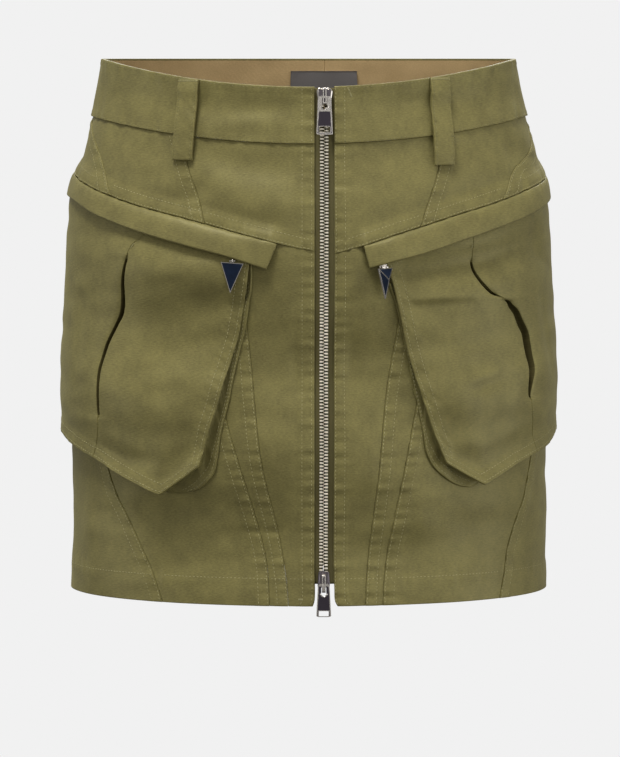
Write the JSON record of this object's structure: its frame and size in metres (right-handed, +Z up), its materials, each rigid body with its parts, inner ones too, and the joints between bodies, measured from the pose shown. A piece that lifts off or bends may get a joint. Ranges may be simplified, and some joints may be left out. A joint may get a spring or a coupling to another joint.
{
  "type": "cargo utility skirt",
  "caption": "Short twill skirt with a straight waistband, full-length two-way zip, V yoke, belt loops and large flapped bellows pockets, hollow in its worn form.",
  "frame": {"origin": "centre of the waist, half way up the waistband, where the wearer holds the skirt", "axes": "+Z up along the wearer's height, -Y out of the front, +X to the wearer's left"},
  "size_m": [0.347, 0.2534, 0.3753],
  "materials": {
    "twill": "olive cotton twill with a soft satin sheen",
    "zip_tape": "olive woven zip tape",
    "metal": "polished nickel-plated zip metal",
    "enamel": "navy enamel with bright metal edges",
    "label": "plain dark woven label"
  },
  "bodies": {
    "skirt": {"waistband_front_left": "twill", "waistband_back_left": "twill", "yoke_front_left": "twill", "yoke_side_left": "twill", "yoke_back_left": "twill", "front_centre_left": "twill", "front_wedge_left": "twill", "front_side_left": "twill", "back_left": "twill", "pocket_face_left": "twill", "pocket_gusset_left": "twill", "pocket_flap_left": "twill", "waistband_front_right": "twill", "waistband_back_right": "twill", "yoke_front_right": "twill", "yoke_side_right": "twill", "yoke_back_right": "twill", "front_centre_right": "twill", "front_wedge_right": "twill", "front_side_right": "twill", "back_right": "twill", "pocket_face_right": "twill", "pocket_gusset_right": "twill", "pocket_flap_right": "twill", "belt_loop_front_right": "twill", "belt_loop_front_left": "twill", "belt_loop_side_back_right": "twill", "belt_loop_side_back_left": "twill", "belt_loop_back": "twill", "zip_tape_left": "zip_tape", "zip_tape_right": "zip_tape", "zip_chain": "metal", "zip_slider_top": "metal", "zip_slider_bottom": "metal", "pocket_staple_left": "metal", "pocket_staple_right": "metal", "label": "label"},
    "top_zip_pull": {"zip_pull_top": "metal"},
    "bottom_zip_pull": {"zip_pull_bottom": "metal"},
    "right_pocket_pull": {"pocket_pull_right": "enamel"},
    "left_pocket_pull": {"pocket_pull_left": "enamel"}
  },
  "joints": [
    {"name": "top_zip_pull_hinge", "type": "hinge", "parent": "skirt", "child": "top_zip_pull", "pos_m": [0.01073, -0.10316, -0.0058], "axis": [-1, 0, 0], "range_deg": [0, 170]},
    {"name": "bottom_zip_pull_hinge", "type": "hinge", "parent": "skirt", "child": "bottom_zip_pull", "pos_m": [0.01018, -0.12066, -0.3338], "axis": [-1, 0, 0], "range_deg": [0, 170]},
    {"name": "right_pocket_pull_hinge", "type": "hinge", "parent": "skirt", "child": "right_pocket_pull", "pos_m": [-0.05118, -0.11753, -0.1154], "axis": [-0.9775, 0.2108, 0], "range_deg": [0, 90]},
    {"name": "left_pocket_pull_hinge", "type": "hinge", "parent": "skirt", "child": "left_pocket_pull", "pos_m": [0.05138, -0.11994, -0.1196], "axis": [-0.9777, -0.2098, 0], "range_deg": [0, 90]}
  ]
}
